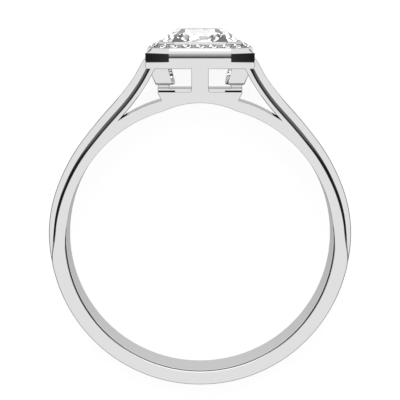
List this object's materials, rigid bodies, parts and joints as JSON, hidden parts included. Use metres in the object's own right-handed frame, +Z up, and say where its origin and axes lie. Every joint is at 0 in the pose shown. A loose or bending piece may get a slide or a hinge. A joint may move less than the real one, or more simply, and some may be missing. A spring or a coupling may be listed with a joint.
{
  "type": "halo ring",
  "caption": "White metal finger ring whose shoulders rise to an open gallery and a cut-cornered halo of small stones round one larger cut stone.",
  "frame": {"origin": "on the surface that the ring lies on, under the middle of its bounding box", "axes": "+Y from the bottom of the band to the head, +Z up; the finger hole's axis leans back from +Z by the few degrees that the ring takes as it lies on its side"},
  "size_m": [0.0192, 0.023, 0.0069],
  "materials": {
    "polished_white_gold": "rhodium-plated white gold with a mirror polish",
    "small_diamonds": "small round diamonds, faceted, held by metal beads",
    "centre_diamond": "colourless diamond, cut corners, polished facets"
  },
  "bodies": {
    "root": {"ring_mount": "polished_white_gold", "halo_melee": "small_diamonds", "centre_stone": "centre_diamond"}
  },
  "joints": []
}
